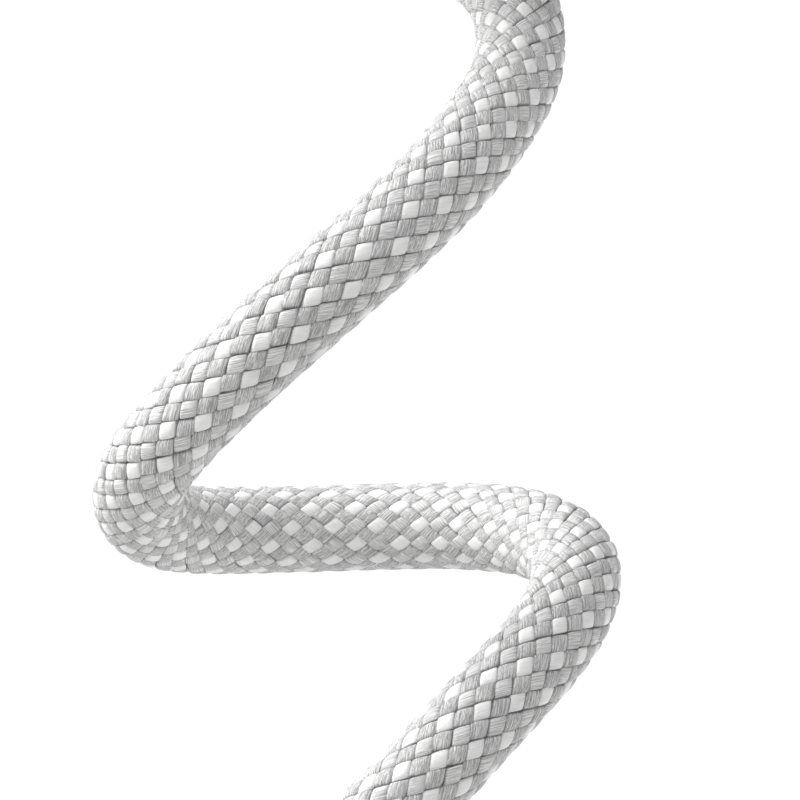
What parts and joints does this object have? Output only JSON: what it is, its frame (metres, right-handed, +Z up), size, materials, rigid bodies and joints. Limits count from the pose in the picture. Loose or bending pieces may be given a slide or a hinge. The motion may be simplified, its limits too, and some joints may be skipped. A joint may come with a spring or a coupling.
{
  "type": "coiled dock line",
  "caption": "Braided mooring line with a spliced eye, put away in a round coil held by frapping turns, its whipped end hanging below in springy loops.",
  "frame": {"origin": "inside of the crown of the spliced eye, where the hook, peg or cleat that carries the hanging line touches it", "axes": "+Z up, along the pull of the hanging line; -Y is the side the line is looked at from; +X to the right seen from there"},
  "size_m": [0.1912, 0.0809, 0.4974],
  "materials": {
    "rope_cover": "white braided synthetic cover with a soft sheen",
    "rope_core": "duller off-white braided core",
    "whipping_twine": "waxed white whipping twine",
    "melted_tip": "fused fibre ends, smooth and slightly yellowed"
  },
  "bodies": {
    "root": {"eye_cover": "rope_cover", "eye_core": "rope_core", "splice_body": "rope_cover", "throat_whipping": "whipping_twine", "frapping_turns": "rope_cover", "coil": "rope_cover", "tail_cover": "rope_cover", "tail_core": "rope_core", "end_whipping": "whipping_twine", "sealed_tip": "melted_tip"}
  },
  "joints": []
}
